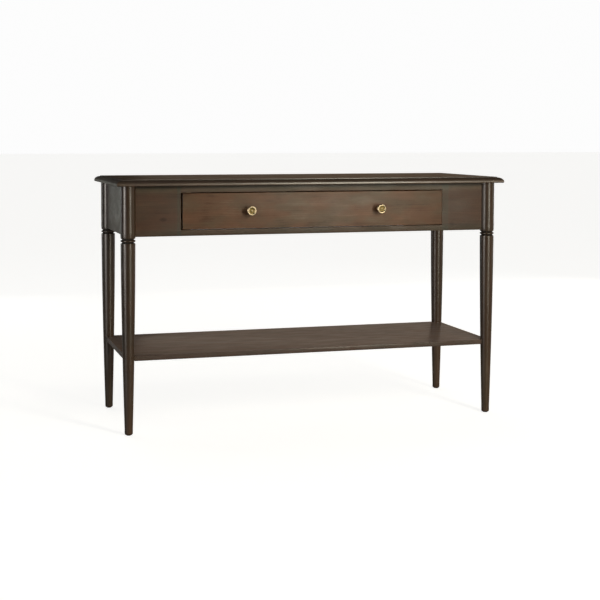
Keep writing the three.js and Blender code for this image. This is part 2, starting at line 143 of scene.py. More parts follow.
def make_lights():
    for settings in SOFTBOXES:
        light = softbox(*settings)
        light.visible_diffuse = light.name != REFLECTED_ONLY
    for name, source, strength in SKIES:
        sky(name, source, strength)
    for settings in REAR_STRIPS:
        softbox(*settings)


def make_world():
    """White behind the table, but almost no light from it, as with black flags round the studio."""
    scene.view_settings.view_transform = "Standard"
    world = bpy.data.worlds.new("studio")
    scene.world = world
    world.use_nodes = True
    tree = world.node_tree
    tree.nodes.clear()
    seen = add(tree, "Background", {"Color": (1, 1, 1, 1), "Strength": WORLD_SEEN})
    around = add(tree, "Background", {"Color": (1, 1, 1, 1), "Strength": WORLD_LIGHT})
    path = add(tree, "LightPath")
    mixed = add(tree, "MixShader", {0: path.outputs["Is Camera Ray"]})
    tree.links.new(around.outputs[0], mixed.inputs[1])
    tree.links.new(seen.outputs[0], mixed.inputs[2])
    output = add(tree, "OutputWorld")
    tree.links.new(mixed.outputs[0], output.inputs[0])


def make_floor():
    """A floor that is seen as nearly white, and lights the table as a greyer one would."""
    bm = bmesh.new()
    bmesh.ops.create_grid(bm, x_segments=1, y_segments=1, size=FLOOR_HALF)
    mesh = bpy.data.meshes.new("floor")
    bm.to_mesh(mesh)
    bm.free()
    floor = bpy.data.objects.new("floor", mesh)
    scene.collection.objects.link(floor)
    paint = bpy.data.materials.new("floor_paint")
    paint.use_nodes = True
    tree = paint.node_tree
    tree.nodes.clear()
    lit = add(tree, "BsdfDiffuse", {"Color": rgb(0.55, 0.55, 0.545)})
    glow = add(tree, "Emission", {"Color": rgb(1, 1, 0.99), "Strength": FLOOR_GLOW})
    pale = add(tree, "AddShader", {0: lit.outputs[0], 1: glow.outputs[0]})
    dim = add(tree, "BsdfDiffuse", {"Color": rgb(0.48, 0.47, 0.45)})
    path = add(tree, "LightPath")
    inputs = {0: path.outputs["Is Camera Ray"], 1: dim.outputs[0], 2: pale.outputs[0]}
    mixed = add(tree, "MixShader", inputs)
    add(tree, "OutputMaterial", {0: mixed.outputs[0]})
    mesh.materials.append(paint)
    floor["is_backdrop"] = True


# ---------------------------------------------------------------- shader nodes


def add(tree, kind, inputs=None, **settings):
    """A node with its settings, and its inputs by name or place: a socket is linked, a value is set."""
    made = tree.nodes.new("ShaderNode" + kind)
    for name, value in settings.items():
        setattr(made, name, value)
    for key, value in (inputs or {}).items():
        if isinstance(value, bpy.types.NodeSocket):
            tree.links.new(value, made.inputs[key])
        else:
            made.inputs[key].default_value = value
    return made


def math_node(tree, operation, *values):
    return add(tree, "Math", dict(enumerate(values)), operation=operation).outputs[0]


def vector_node(tree, operation, *values):
    made = add(tree, "VectorMath", dict(enumerate(values)), operation=operation)
    return made.outputs["Value" if operation == "DISTANCE" else "Vector"]


def span(tree, value, low, high, to_low=0.0, to_high=1.0):
    """The value's place between low and high, smoothed, as a place between the other two."""
    inputs = {0: value, 1: low, 2: high, 3: to_low, 4: to_high}
    return add(tree, "MapRange", inputs, interpolation_type="SMOOTHSTEP").outputs[0]


def mix(tree, factor, a, b, blend="MIX"):
    inputs = {0: factor, 6: a, 7: b}
    return add(tree, "Mix", inputs, data_type="RGBA", blend_type=blend).outputs[2]


def noise(tree, vector, along, across, seed, detail=2.0, rough=0.5):
    """Noise that repeats so many times a metre along and across the grain."""
    offset = (seed, 2.3 * seed, 3.7 * seed)
    stretched = vector_node(tree, "MULTIPLY_ADD", vector, (along, across, across), offset)
    inputs = {"Vector": stretched, "Scale": 1.0, "Detail": detail, "Roughness": rough}
    return add(tree, "TexNoise", inputs).outputs[0]


def rgb(r, g, b):
    return (r, g, b, 1.0)


def new_material(name):
    material = bpy.data.materials.new(name)
    material.use_nodes = True
    return material, material.node_tree, material.node_tree.nodes["Principled BSDF"]


TURNS = {"X": (0, 0, 0), "Y": (0, 0, -math.pi / 2), "Z": (0, math.pi / 2, 0)}


def place_in_table(tree):
    """The X, Y and Z of a point in the table's own frame."""
    here = add(tree, "TexCoord").outputs["Object"]
    return add(tree, "SeparateXYZ", {0: here}).outputs


def grain_space(tree, grain, pith):
    """Coordinates whose X runs along the grain, with the tree's middle on their X axis."""
    here = add(tree, "TexCoord").outputs["Object"]
    centred = vector_node(tree, "SUBTRACT", here, pith)
    inputs = {"Vector": centred, "Rotation": TURNS[grain]}
    return add(tree, "Mapping", inputs, vector_type="POINT").outputs[0]


def wood(
    name,
    grain,
    pith,
    tones,
    ring=5.0,
    figure=0.35,
    seed=1.0,
    gloss=(0.36, 0.46),
    shine=0.5,
    stave=None,
    coat=(0.0, 0.2),
    mottle=0.5,
    stain_and_painted_light=None,
):
    """Finished wood: growth rings about the pith, streaks, fibres, pores and a soft cloudy stain.
    stave is the width of the boards that a wide panel is glued up from, and the last argument changes the
    colour: real tints and marks, and painted light and shade."""
    material, tree, shader = new_material(name)
    at = grain_space(tree, grain, pith)
    if stave:
        parts = add(tree, "SeparateXYZ", {0: at})
        board = math_node(tree, "FLOOR", math_node(tree, "DIVIDE", parts.outputs[1], stave))
        shifts = [math_node(tree, "MULTIPLY", board, s) for s in (0.613, 0.0171, 0.0093)]
        shift = add(tree, "CombineXYZ", dict(enumerate(shifts))).outputs[0]
        at = vector_node(tree, "ADD", at, shift)
    stretched = vector_node(tree, "MULTIPLY_ADD", at, (1.7, 9.0, 9.0), (seed, seed, seed))
    warp = add(tree, "TexNoise", {"Vector": stretched, "Scale": 1.0, "Detail": 2.0}).outputs["Color"]
    bent = vector_node(tree, "MULTIPLY_ADD", warp, (0.0, 0.03, 0.03), at)
    waves = {
        "Vector": bent,
        "Scale": 2 * math.pi / (20 * ring * MM),
        "Distortion": 1.2,
        "Detail": 2.0,
        "Detail Scale": 0.6,
    }
    kinds = {"wave_type": "RINGS", "rings_direction": "X", "wave_profile": "SAW"}
    rings = add(tree, "TexWave", waves, **kinds).outputs[1]
    streaks = noise(tree, bent, 5, 170, seed + 1, 4.0, 0.6)
    bands = noise(tree, bent, 2.2, 42, seed + 2, 3.0, 0.55)
    fibres = noise(tree, bent, 60, 1500, seed + 3, 2.0)
    clouds = noise(tree, at, 13, 30, seed + 4, 4.0, 0.55)
    tint = noise(tree, at, 10, 26, seed + 5, 4.0, 0.5)
    pores = span(tree, noise(tree, bent, 150, 2600, seed + 6, 1.0), 0.62, 0.72)

    tone = math_node(tree, "MULTIPLY_ADD", rings, 0.30 * figure, 0.5 - 0.15 * figure)
    shares = (
        (streaks, 1.5 * figure),
        (bands, 1.3 * figure),
        (fibres, 0.5 * figure),
        (clouds, 1.2 * mottle),
    )
    for part, share in shares:
        centred = math_node(tree, "SUBTRACT", part, 0.5)
        tone = math_node(tree, "MULTIPLY_ADD", centred, share, tone)
    dark, middle, light = tones
    low = mix(tree, span(tree, tone, 0.12, 0.5), dark, middle)
    colour = mix(tree, span(tree, tone, 0.5, 0.88), low, light)
    warm = mix(tree, mottle, colour, rgb(1.14, 0.96, 0.88), "MULTIPLY")
    cool = mix(tree, mottle, colour, rgb(0.92, 1.04, 1.04), "MULTIPLY")
    colour = mix(tree, span(tree, tint, 0.36, 0.64), cool, warm)
    if stain_and_painted_light:
        colour = stain_and_painted_light(tree, colour)
    filled = math_node(tree, "MULTIPLY", pores, 0.45)
    colour = mix(tree, filled, colour, rgb(0.3, 0.25, 0.22), "MULTIPLY")
    # Painted shade: the colour darkens and the surface dulls where the vertex attribute read here marks the
    # leg grooves, the moulding's upper round and underside, and the shelf's edges.
    shade_and_patina = add(tree, "Attribute", attribute_name="shade_and_patina").outputs["Fac"]
    colour = mix(tree, shade_and_patina, colour, rgb(0.28, 0.25, 0.22), "MULTIPLY")

    sheen = span(tree, noise(tree, at, 14, 40, seed + 7, 3.0), 0.3, 0.7, *gloss)
    dulled = math_node(tree, "MULTIPLY_ADD", shade_and_patina, 0.45, sheen)
    rough = math_node(tree, "MULTIPLY_ADD", pores, 0.08, dulled)
    height = math_node(tree, "SUBTRACT", math_node(tree, "MULTIPLY", fibres, 0.4), pores)
    bump = add(tree, "Bump", {"Strength": 0.13, "Distance": 0.00006, "Height": height})
    tree.links.new(colour, shader.inputs["Base Color"])
    tree.links.new(rough, shader.inputs["Roughness"])
    tree.links.new(bump.outputs[0], shader.inputs["Normal"])
    shader.inputs["IOR"].default_value = 1.5
    shader.inputs["Specular IOR Level"].default_value = shine
    shader.inputs["Coat Weight"].default_value, shader.inputs["Coat Roughness"].default_value = coat
    return material


def metal(name, colour, shade, rough, seed):
    """Aged metal: a patchy patina, darker and duller where the vertex attribute marks patina in hollows and
    painted shade.
    """
    material, tree, shader = new_material(name)
    at = add(tree, "TexCoord").outputs["Object"]
    patches = noise(tree, at, 160, 160, seed, 3.0, 0.6)
    fine = noise(tree, at, 1400, 1400, seed + 1, 2.0)
    tone = mix(tree, span(tree, patches, 0.35, 0.7, 0.0, 0.5), colour, shade)
    shade_and_patina = add(tree, "Attribute", attribute_name="shade_and_patina").outputs["Fac"]
    tone = mix(tree, shade_and_patina, tone, shade)
    base = span(tree, fine, 0.3, 0.7, rough, rough + 0.1)
    dulled = math_node(tree, "MULTIPLY_ADD", shade_and_patina, 0.25, base)
    bump = add(tree, "Bump", {"Strength": 0.2, "Distance": 0.00004, "Height": fine})
    tree.links.new(tone, shader.inputs["Base Color"])
    tree.links.new(dulled, shader.inputs["Roughness"])
    tree.links.new(bump.outputs[0], shader.inputs["Normal"])
    shader.inputs["Metallic"].default_value = 1.0
    return material


def plastic(name, colour, rough, seed):
    """Moulded plastic with a fine leathery texture and scuffs."""
    material, tree, shader = new_material(name)
    at = add(tree, "TexCoord").outputs["Object"]
    scuffs = noise(tree, at, 300, 300, seed, 4.0, 0.65)
    texture = noise(tree, at, 2500, 2500, seed + 1, 1.0)
    scuffed = mix(tree, span(tree, scuffs, 0.5, 0.75, 0.0, 0.4), colour, rgb(0.09, 0.085, 0.08))
    bump = add(tree, "Bump", {"Strength": 0.3, "Distance": 0.00005, "Height": texture})
    tree.links.new(scuffed, shader.inputs["Base Color"])
    tree.links.new(span(tree, scuffs, 0.3, 0.7, rough, rough + 0.2), shader.inputs["Roughness"])
    tree.links.new(bump.outputs[0], shader.inputs["Normal"])
    return material


# The x, z and size of each small mark in the front, and the x and half width of the greener ends.
MARKS = ((-0.476, 0.642, 0.008), (0.457, 0.612, 0.007), (0.211, 0.720, 0.006))
GREENER_ENDS = ((-0.428, 0.007), (0.433, 0.012))
FRONT_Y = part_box("front_rail_bottom")[0].y
DRAWER_Z = 0.666
RAIL_FROM, RAIL_TO = 0.047, 0.066
UPPER_FROM, UPPER_TO = 0.70, 0.72
UNDER_TOP_FROM, UNDER_TOP_TO = 0.730, 0.740
RIGHT_END_FROM, RIGHT_END_TO = 0.440, 0.452
DEEPER_FROM, DEEPER_TO = 0.22, 0.42
TOP_FADE_FROM, TOP_FADE_TO = -0.7, 0.4
FOOT_FADE_FROM, FOOT_FADE_TO = 0.05, 0.36


def marked(tree, colour):
    """Small dark marks in the front, drawn out along the grain."""
    here = add(tree, "TexCoord").outputs["Object"]
    squeezed = vector_node(tree, "MULTIPLY", here, (0.5, 1, 1))
    for x, z, size in MARKS:
        away = vector_node(tree, "DISTANCE", squeezed, (x / 2, FRONT_Y, z))
        inside = span(tree, away, 0.25 * size, size, 0.6, 0.0)
        colour = mix(tree, inside, colour, rgb(0.35, 0.28, 0.25), "MULTIPLY")
    return colour


def railed(tree, colour):
    """A greener tint round the drawer, with the top rail paler still as painted light, a darker right end,
    a painted shadow just under the top, and the marks.
    """
    x, _, z = place_in_table(tree)
    from_middle = math_node(tree, "ABSOLUTE", math_node(tree, "SUBTRACT", z, DRAWER_Z))
    for place, half in GREENER_ENDS:
        away = math_node(tree, "ABSOLUTE", math_node(tree, "SUBTRACT", x, place))
        beside = span(tree, away, half - 0.004, half + 0.002, 1.0, 0.0)
        colour = mix(tree, beside, colour, rgb(0.82, 1.06, 1.20), "MULTIPLY")
    # The rails above and below the drawer are tinted greener; the top rail is made paler still, painted
    # light that lifts the shade under the top's overhang.
    above = span(tree, z, UPPER_FROM, UPPER_TO)
    stain_and_painted_light = mix(tree, above, rgb(0.95, 1.30, 1.55), rgb(1.30, 1.78, 1.95))
    strips = span(tree, from_middle, RAIL_FROM, RAIL_TO)
    colour = mix(tree, strips, colour, mix(tree, 1.0, colour, stain_and_painted_light, "MULTIPLY"))
    right = span(tree, x, RIGHT_END_FROM, RIGHT_END_TO)
    colour = mix(tree, right, colour, rgb(0.86, 0.84, 0.82), "MULTIPLY")
    # Painted shadow: a dark line along the apron just under the top's overhang.
    shade_under_top = span(tree, z, UNDER_TOP_FROM, UNDER_TOP_TO, 0.0, 0.85)
    return marked(tree, mix(tree, shade_under_top, colour, rgb(0.1, 0.1, 0.1), "MULTIPLY"))


def darker_end(tree, colour):
    """The marks, and painted shade that deepens towards the right end of the drawer, where less light
    falls.
    """
    deeper = span(tree, place_in_table(tree)[0], DEEPER_FROM, DEEPER_TO)
    return marked(tree, mix(tree, deeper, colour, rgb(0.84, 0.86, 0.88), "MULTIPLY"))


def darker_left(tree, colour):
    """Painted shade that deepens towards the top's left end, where less light is reflected."""
    fade = span(tree, place_in_table(tree)[0], TOP_FADE_FROM, TOP_FADE_TO, 1.0, 0.0)
    return mix(tree, fade, colour, rgb(0.50, 0.50, 0.45), "MULTIPLY")


def painted_foot_light(tree, colour):
    """Painted light: the legs paler towards the foot, as if lit by light bounced from the floor."""
    fade = span(tree, place_in_table(tree)[2], FOOT_FADE_FROM, FOOT_FADE_TO, 1.0, 0.0)
    return mix(tree, fade, colour, rgb(1.55, 1.65, 1.80), "MULTIPLY")


# The dark, middle and light tones of each finish.
WALNUT = (rgb(0.043, 0.020, 0.010), rgb(0.074, 0.037, 0.020), rgb(0.109, 0.055, 0.032))
PALER_WALNUT = (rgb(0.077, 0.041, 0.021), rgb(0.132, 0.073, 0.041), rgb(0.184, 0.109, 0.066))
SHELF_TONES = (rgb(0.065, 0.036, 0.022), rgb(0.109, 0.064, 0.043), rgb(0.158, 0.097, 0.066))
DARK_WALNUT = (rgb(0.028, 0.013, 0.005), rgb(0.048, 0.025, 0.011), rgb(0.076, 0.042, 0.020))
EDGE_TONES = (rgb(0.036, 0.018, 0.007), rgb(0.063, 0.034, 0.015), rgb(0.098, 0.056, 0.027))
TOP_TONES = (rgb(0.056, 0.027, 0.009), rgb(0.104, 0.050, 0.017), rgb(0.150, 0.076, 0.028))
LEG_TONES = (rgb(0.028, 0.015, 0.007), rgb(0.047, 0.026, 0.013), rgb(0.073, 0.042, 0.024))
BARE = (rgb(0.30, 0.20, 0.115), rgb(0.43, 0.305, 0.185), rgb(0.53, 0.40, 0.26))

FRONT_PITH = (0.0, -0.09, 0.575)
APRON_WOOD = wood("walnut_apron", "X", FRONT_PITH, WALNUT, seed=3.1, shine=0.25, stain_and_painted_light=railed)
DRAWER_WOOD = wood(
    "walnut_drawer",
    "X",
    FRONT_PITH,
    PALER_WALNUT,
    seed=3.1,
    shine=0.3,
    mottle=0.85,
    stain_and_painted_light=darker_end,
)
BACK_WOOD = wood("walnut_back", "X", (0.4, 0.30, 0.60), WALNUT, seed=5.7, shine=0.25)
SIDE_WOOD = {
    -1: wood("walnut_side_left", "Y", (-0.48, 0.0, 0.585), DARK_WALNUT, seed=8.3),
    1: wood("walnut_side_right", "Y", (0.47, 0.1, 0.61), DARK_WALNUT, seed=9.9),
}
TOP_WOOD = wood(
    "walnut_top",
    "X",
    (0.0, 0.05, 0.66),
    TOP_TONES,
    seed=12.2,
    stave=0.098,
    shine=0.2,
    stain_and_painted_light=darker_left,
)
EDGE_WOOD = {
    "X": wood(
        "walnut_edge_long",
        "X",
        (0.2, -0.30, 0.70),
        EDGE_TONES,
        seed=14.6,
        shine=0.6,
        coat=(0.9, 0.26),
    ),
    "Y": wood("walnut_edge_short", "Y", (0.70, 0.2, 0.68), DARK_WALNUT, seed=16.1, shine=0.3),
}
SHELF_WOOD = wood(
    "walnut_shelf",
    "X",
    (0.3, -0.04, 0.12),
    SHELF_TONES,
    seed=18.4,
    stave=0.101,
    coat=(0.3, 0.2),
)
LEG_WOOD = wood(
    "walnut_leg",
    "Z",
    (0.11, 0.08, 0.0),
    LEG_TONES,
    seed=21.5,
    gloss=(0.28, 0.36),
    stain_and_painted_light=painted_foot_light,
)
PALE_KINDS = (
    ("X", (0.0, 0.12, 0.60), 25.0),
    ("Y", (0.36, 0.0, 0.57), 27.0),
    ("Z", (0.05, 0.03, 0.0), 29.0),
)
PALE_FINISH = {"figure": 0.6, "mottle": 0.2, "gloss": (0.5, 0.62)}
PALE = {
    axis: wood(f"pale_{axis.lower()}", axis, pith, BARE, seed=seed, **PALE_FINISH)
    for axis, pith, seed in PALE_KINDS
}
BRASS = metal("brass", rgb(0.64, 0.52, 0.35), rgb(0.17, 0.12, 0.035), 0.26, 31.0)
STEEL = metal("steel", rgb(0.55, 0.55, 0.56), rgb(0.30, 0.29, 0.28), 0.32, 33.0)
NYLON = plastic("nylon", rgb(0.012, 0.011, 0.010), 0.45, 35.0)


# ---------------------------------------------------------------- mesh tools


def oval(x, y, wide, high, first, last, steps):
    """Points along part of an ellipse, by its half width and half height and two angles in degrees."""
    angles = (math.radians(first + (last - first) * i / steps) for i in range(steps + 1))
    return [(x + wide * math.cos(a), y + high * math.sin(a)) for a in angles]


def arc(x, y, radius, first, last, steps):
    """Points along an arc, from one angle to another in degrees."""
    return oval(x, y, radius, radius, first, last, steps)


def bend(start, pull, end, steps):
    """Points along a smooth bend that is pulled towards one point."""
    points = []
    for i in range(steps + 1):
        t = i / steps
        a, b, c = (1 - t) ** 2, 2 * t * (1 - t), t * t
        points.append(tuple(a * s + b * p + c * e for s, p, e in zip(start, pull, end)))
    return points


def build(name, bm, material, body, replaced, sharp=30):
    """A piece from a mesh in the table's frame, riding on its body in place of its CAD nodes."""
    bmesh.ops.remove_doubles(bm, verts=bm.verts, dist=1e-6)
    bmesh.ops.recalc_face_normals(bm, faces=bm.faces)
    mesh = bpy.data.meshes.new(name)
    bm.to_mesh(mesh)
    bm.free()
    mesh.shade_smooth()
    mesh.set_sharp_from_angle(angle=math.radians(sharp))
    mesh.materials.append(material)
    piece = bpy.data.objects.new(name, mesh)
    scene.collection.objects.link(piece)
    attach(piece, body)
    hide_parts(*replaced)


def lathe(outline, segments, place=Matrix.Identity(4), shade_and_patina=None):
    """A surface turned about Z from (radius, height) points in millimetres, closed on its axis.
    The last argument tells how much patina and painted shade darken the surface at a radius and height."""
    bm = bmesh.new()
    layer = bm.verts.layers.float.new("shade_and_patina")
    rings = []
    for radius, height in outline:
        around = segments if radius > 1e-6 else 1
        ring = []
        for i in range(around):
            angle = 2 * math.pi * i / around
            at = Vector((radius * math.cos(angle), radius * math.sin(angle), height)) * MM
            vert = bm.verts.new(place @ at)
            vert[layer] = shade_and_patina(radius, height) if shade_and_patina else 0
            ring.append(vert)
        rings.append(ring)
    for one, two in zip(rings, rings[1:]):
        for i in range(segments):
            a, b = one[i % len(one)], one[(i + 1) % len(one)]
            c, d = two[(i + 1) % len(two)], two[i % len(two)]
            corners = list(dict.fromkeys((a, b, c, d)))
            if len(corners) > 2:
                bm.faces.new(corners)
    return bm


def box_mesh(bm, low, high):
    """A closed box between two corners, added to a mesh."""
    xs, ys, zs = zip(low, high)
    verts = [bm.verts.new((x, y, z)) for z in zs for y in ys for x in xs]
    for face in ((0, 2, 3, 1), (4, 5, 7, 6), (0, 1, 5, 4), (2, 6, 7, 3), (0, 4, 6, 2), (1, 3, 7, 5)):
        bm.faces.new([verts[i] for i in face])


def round_edges(bm, chosen, width, segments=3):
    """Rounds the edges that a test picks."""
    edges = [e for e in bm.edges if chosen(*(v.co for v in e.verts))]
    bmesh.ops.bevel(
        bm,
        geom=edges,
        offset=width * MM,
        segments=segments,
        profile=0.5,
        affect="EDGES",
        clamp_overlap=True,
    )


def prism(outline, low, high):
    """A closed prism along X, between two levels, on an outline of (y, z) points in metres."""
    bm = bmesh.new()
    ends = [[bm.verts.new((level, y, z)) for y, z in outline] for level in (low, high)]
    count = len(outline)
    for i in range(count):
        j = (i + 1) % count
        bm.faces.new((ends[0][i], ends[0][j], ends[1][j], ends[1][i]))
    for end in ends:
        bm.faces.new(end)
    bmesh.ops.recalc_face_normals(bm, faces=bm.faces)
    return bm


def cut(bm, cutter):
    """The first mesh with the second cut out of it. Both are used up."""
    made = []
    for source in (bm, cutter):
        bmesh.ops.recalc_face_normals(source, faces=source.faces)
        mesh = bpy.data.meshes.new("working")
        source.to_mesh(mesh)
        source.free()
        holder = bpy.data.objects.new("working", mesh)
        scene.collection.objects.link(holder)
        made.append(holder)
    body, tool = made
    modifier = body.modifiers.new("cut", "BOOLEAN")
    modifier.operation, modifier.object, modifier.solver = "DIFFERENCE", tool, "EXACT"
    bpy.context.view_layer.update()
    result = bmesh.new()
    result.from_object(body, bpy.context.evaluated_depsgraph_get())
    for holder in made:
        mesh = holder.data
        bpy.data.objects.remove(holder)
        bpy.data.meshes.remove(mesh)
    return result


# ---------------------------------------------------------------- legs and feet

SIDES = (("left", -1), ("right", 1))
CORNERS = ("front_left", "front_right", "back_left", "back_right")
GROOVES = (575.6, 585.1)
GROOVE_HALF = 2.5
GROOVE_RIM = 21.4
GROOVE_BOTTOM = 17.4
NECK_R = 22.0
COLUMN_R = 22.5
SWELL = (20.2, 295)
ANKLE_R = 12.4
ANKLE_Z = 20
FOOT_R = 9.8
GLIDE = 2.0
GLIDE_PIN_R = 1.4
GLIDE_PIN_TOP = 14


def leg_outline(top):
    """A leg from its foot up: a rounded foot, a swelling taper, two grooves with a bead and a column."""
    foot = GLIDE + GAP
    rounding = ANKLE_R - FOOT_R
    low, high = GROOVES

    def groove(z):
        rim = GROOVE_RIM
        return bend((rim, z - GROOVE_HALF), (2 * GROOVE_BOTTOM - rim, z), (rim, z + GROOVE_HALF), 10)

    bead = bend(
        (GROOVE_RIM, low + GROOVE_HALF),
        (NECK_R + 1.0, (low + high) / 2),
        (GROOVE_RIM, high - GROOVE_HALF),
        8,
    )
    return [
        (0, foot),
        *oval(FOOT_R, foot + 2 * rounding, rounding, 2 * rounding, -90, 0, 8),
        *bend((ANKLE_R, ANKLE_Z), SWELL, (NECK_R, low - 2 * GROOVE_HALF - 0.8), 48),
        *bend((NECK_R, low - 2 * GROOVE_HALF), (NECK_R, low - 3.1), (GROOVE_RIM, low - 2.5), 4)[:-1],
        *groove(low),
        *bead[1:-1],
        *groove(high),
        *bend(
            (GROOVE_RIM + 0.3, high + GROOVE_HALF + 1),
            (COLUMN_R, high + 4 * GROOVE_HALF),
            (COLUMN_R, high + 18),
            8,
        ),
        (COLUMN_R, top),
        (0, top),
    ]


def add_legs():
    def shade_and_patina(_, height):
        """Painted shade fills the two grooves."""
        return 1.0 if min(abs(height - z) for z in GROOVES) < GROOVE_HALF - 0.3 else 0.0

    for name in CORNERS:
        low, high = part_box(f"leg_{name}")
        middle = (low + high) / 2
        place = Matrix.Translation((middle.x, middle.y, 0))
        bm = lathe(leg_outline(high.z / MM), 96, place, shade_and_patina)
        build(f"turned_leg_{name}", bm, LEG_WOOD, "table", [f"leg_{name}"])

        glide = [
            (0, 0),
            (6.2, 0),
            *arc(6.2, 1.0, 1.0, -60, 0, 3),
            *arc(7.0, GLIDE - 0.4, 1.0, -30, 20, 4),
            (7.6, GLIDE),
            (GLIDE_PIN_R, GLIDE),
            (GLIDE_PIN_R, GLIDE_PIN_TOP - 3),
            (0, GLIDE_PIN_TOP),
        ]
        bm = lathe(glide, 48, place)
        build(f"glide_{name}", bm, NYLON, "table", [f"foot_glide_{name}"])


# ---------------------------------------------------------------- aprons


def coped_board(along, outer, inner, low, high, leg, opening=None):
    """A board between two columns, hollowed at both ends to fit them. along is its axis, leg the columns'
    distances from the middle, along and across the board, and opening a hole's half width, low and high."""
    layers = 12
    bm = bmesh.new()
    radius = (COLUMN_R + GAP) * MM
    levels = [outer + (inner - outer) * i / layers for i in range(layers + 1)]
    breaks = [-opening[0], opening[0]] if opening else []
    heights = [low, *(opening[1:] if opening else ()), high]
    columns = len(breaks) + 1
    rows = len(heights) - 1
    hole = (1, 1) if opening else None
    verts = {}

    def vert(i, j, k):
        if (i, j, k) not in verts:
            across = levels[k]
            reach = leg[0] - math.sqrt(radius**2 - (across - leg[1]) ** 2)
            u = [-reach, *breaks, reach][i]
            at = (u, across, heights[j]) if along == "X" else (across, u, heights[j])
            verts[i, j, k] = bm.verts.new(at)
        return verts[i, j, k]

    def solid(i, j):
        return 0 <= i < columns and 0 <= j < rows and (i, j) != hole

    for i in range(columns):
        for j in range(rows):
            if not solid(i, j):
                continue
            for k in (0, layers):
                corners = ((i, j), (i + 1, j), (i + 1, j + 1), (i, j + 1))
                bm.faces.new([vert(a, b, k) for a, b in corners])
            sides = (
                ((i - 1, j), (i, j), (i, j + 1)),
                ((i + 1, j), (i + 1, j), (i + 1, j + 1)),
                ((i, j - 1), (i, j), (i + 1, j)),
                ((i, j + 1), (i, j + 1), (i + 1, j + 1)),
            )
            for neighbour, a, b in sides:
                if solid(*neighbour):
                    continue
                for k in range(layers):
                    bm.faces.new([vert(*a, k), vert(*b, k), vert(*b, k + 1), vert(*a, k + 1)])
    bmesh.ops.recalc_face_normals(bm, faces=bm.faces)
    return bm


CLOSE = 1e-5


def near(a, b):
    return abs(a - b) < CLOSE


APRON_ARRIS = 0.8


def apron_edges(along, outer, inner, low, high, opening=None):
    """Picks a board's long lower and upper arrises and those round its opening."""
    u, v = (0, 1) if along == "X" else (1, 0)

    def chosen(a, b):
        if not (near(a[v], b[v]) and (near(a[v], outer) or near(a[v], inner))):
            return False
        if near(a.z, b.z) and (near(a.z, low) or near(a.z, high)):
            return True
        if not opening:
            return False
        half, bottom, top = opening
        flat = near(a.z, b.z) and (near(a.z, bottom) or near(a.z, top))
        upright = near(a[u], b[u]) and near(abs(a[u]), half)
        inside = max(abs(a[u]), abs(b[u])) < half + CLOSE
        within = min(a.z, b.z) > bottom - CLOSE and max(a.z, b.z) < top + CLOSE
        return (flat and inside) or (upright and within)

    return chosen


def add_aprons():
    leg_low, leg_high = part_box("leg_front_left")
    leg = (-(leg_low + leg_high) / 2)[0:2]
    face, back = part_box("front_rail_bottom")[0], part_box("front_rail_top")[1]
    opening = (
        -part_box("front_end_left")[1].x,
        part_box("front_rail_bottom")[1].z,
        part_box("front_rail_top")[0].z,
    )
    bm = coped_board("X", face.y, back.y, face.z, back.z, (leg[0], -leg[1]), opening)
    round_edges(bm, apron_edges("X", face.y, back.y, face.z, back.z, opening), APRON_ARRIS)
    front = ["front_rail_top", "front_rail_bottom", "front_end_left", "front_end_right"]
    build("front_apron", bm, APRON_WOOD, "table", front)

    low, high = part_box("back_apron")
    bm = coped_board("X", high.y, low.y, low.z, high.z, (leg[0], leg[1]))
    round_edges(bm, apron_edges("X", high.y, low.y, low.z, high.z), APRON_ARRIS)
    build("rear_apron", bm, BACK_WOOD, "table", ["back_apron"])

    for name, side in SIDES:
        low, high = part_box(f"side_apron_{name}")
        outer, inner = (low.x, high.x) if side < 0 else (high.x, low.x)
        bm = coped_board("Y", outer, inner, low.z, high.z, (leg[1], side * leg[0]))
        round_edges(bm, apron_edges("Y", outer, inner, low.z, high.z), APRON_ARRIS)
        nodes = [f"side_apron_{name}"]
        build(f"end_apron_{name}", bm, SIDE_WOOD[side], "table", nodes)


# ---------------------------------------------------------------- top

TOP_THICK = 19.0
MOULDING = 17.0
FILLET = 1.8
NOSE_R = 3.2
# Painted shade on the moulding: on its underside, and on the thumbnail's upper part between two heights.
UNDERSIDE_SHADE = 0.7
THUMB_SHADE = 0.62
THUMB_SHADE_FROM, THUMB_SHADE_FULL = 6.9, 9.9


def edge_section(inner, nose, under, top):
    """Section of a moulded strip, as (outwards, height) in millimetres: a small step at the edge of the
    flat, then a long thumbnail round down to the nose."""
    flat = nose - MOULDING
    middle = under + NOSE_R
    thumb = oval(flat, middle, MOULDING, top - FILLET - middle, 0, 90, 28)
    return [
        (inner, under),
        *oval(nose - NOSE_R, middle, NOSE_R, NOSE_R, -90, 0, 8),
        *thumb[1:-1],
        (flat + 0.05, top - FILLET),
        *oval(flat - 0.35, top - 0.4, 0.35, 0.4, 0, 90, 4),
        (inner, top),
    ]


def edge_shade(height):
    """Painted shade on the upper part of the thumbnail, which faces away from the lamps, and a painted
    shadow on the underside; none on the flat.
    """
    if height < 0.2:
        return UNDERSIDE_SHADE
    if height > TOP_THICK - 0.1:
        return 0.0
    return THUMB_SHADE * min(max((height - THUMB_SHADE_FROM) / (THUMB_SHADE_FULL - THUMB_SHADE_FROM), 0.0), 1.0)


